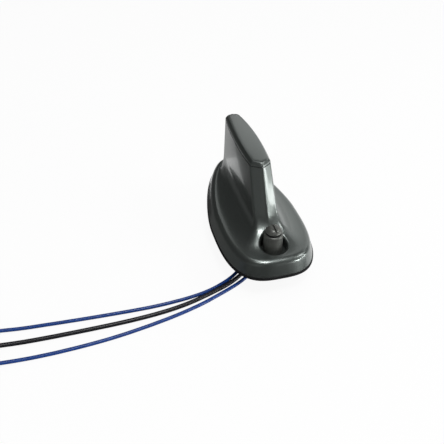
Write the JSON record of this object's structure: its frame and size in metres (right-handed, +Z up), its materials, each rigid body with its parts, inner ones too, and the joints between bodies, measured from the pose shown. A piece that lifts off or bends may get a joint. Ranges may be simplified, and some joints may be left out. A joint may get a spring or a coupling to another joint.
{
  "type": "roof aerial",
  "caption": "Roof aerial: a glossy blade fin on a teardrop base with a seal, a plugged mast socket, a clamp stud and short plugged leads.",
  "frame": {"origin": "the clamp stud's axis in the plane of the seal's underside, where the roof's skin lies", "axes": "+Z up out of the roof; Y along the base with the mast socket at -Y; X across"},
  "size_m": [0.2723, 0.1624, 0.0776],
  "materials": {
    "paint": "gloss",
    "seal_rubber": "matte",
    "cast_alloy": "satin",
    "plated_steel": "satin",
    "brass_metal": "satin",
    "board_green": "satin",
    "patch_ceramic": "matte",
    "tin_metal": "satin",
    "socket_plastic": "satin",
    "blue_jacket": "satin",
    "black_jacket": "satin",
    "blue_housing": "satin",
    "black_housing": "satin",
    "pale_housing": "satin"
  },
  "bodies": {
    "root": {"outer_shell": "paint", "fin_cap": "paint", "gasket": "seal_rubber", "base_plate": "cast_alloy", "clamp_stud": "plated_steel", "claw_washer": "plated_steel", "clamp_nut": "plated_steel", "lead_grommet": "seal_rubber", "feed_pins": "brass_metal", "main_board": "board_green", "patch_element": "patch_ceramic", "patch_pin": "tin_metal", "fin_board": "board_green", "fin_element": "brass_metal", "amplifier_can": "tin_metal", "filter_can": "tin_metal", "board_screws": "plated_steel", "shell_screws": "plated_steel", "socket_barrel": "socket_plastic", "socket_insert": "brass_metal", "socket_ring": "seal_rubber", "socket_head": "socket_plastic", "contact_strip": "brass_metal", "lead_blue_a": "blue_jacket", "lead_black": "black_jacket", "lead_blue_b": "blue_jacket", "ferrule_a": "tin_metal", "ferrule_b": "tin_metal", "ferrule_c": "tin_metal", "plug_housing_a": "blue_housing", "plug_housing_b": "black_housing", "plug_housing_c": "pale_housing", "plug_barrel_a": "brass_metal", "plug_barrel_b": "brass_metal", "plug_barrel_c": "brass_metal"}
  },
  "joints": []
}
